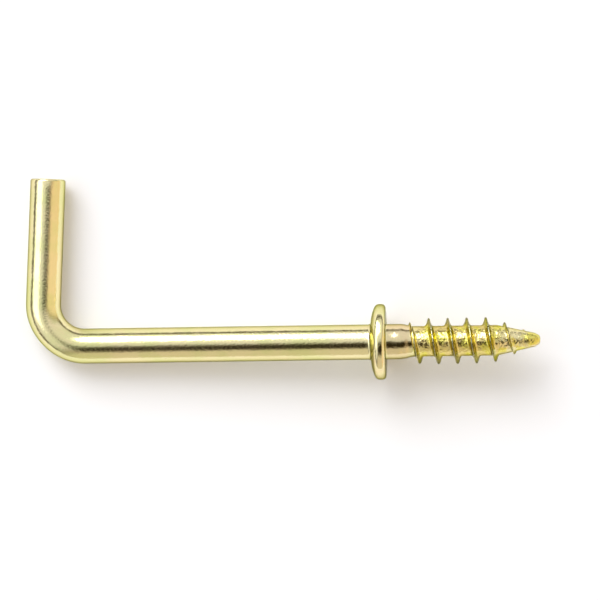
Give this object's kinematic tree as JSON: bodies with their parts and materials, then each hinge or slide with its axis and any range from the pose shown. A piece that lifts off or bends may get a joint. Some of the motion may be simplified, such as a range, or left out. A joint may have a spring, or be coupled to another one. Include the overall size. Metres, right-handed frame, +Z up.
{
  "type": "square hook",
  "caption": "Shouldered square screw hook: round wire bent to an L, with a collar and a wood-screw thread, to screw into a wall or shelf and hang things on.",
  "frame": {"origin": "centre of the collar's flat bearing face, on the screw's axis", "axes": "+X along the hook towards the screw's tip, which lies 3.4 degrees higher than the shank as the hook rests; +Y towards the arm's free end; +Z up, out of the surface that it lies on"},
  "size_m": [0.0379, 0.0153, 0.0056],
  "materials": {
    "brass_plating": "bright plated"
  },
  "bodies": {
    "root": {"square_hook": "brass_plating"}
  },
  "joints": []
}
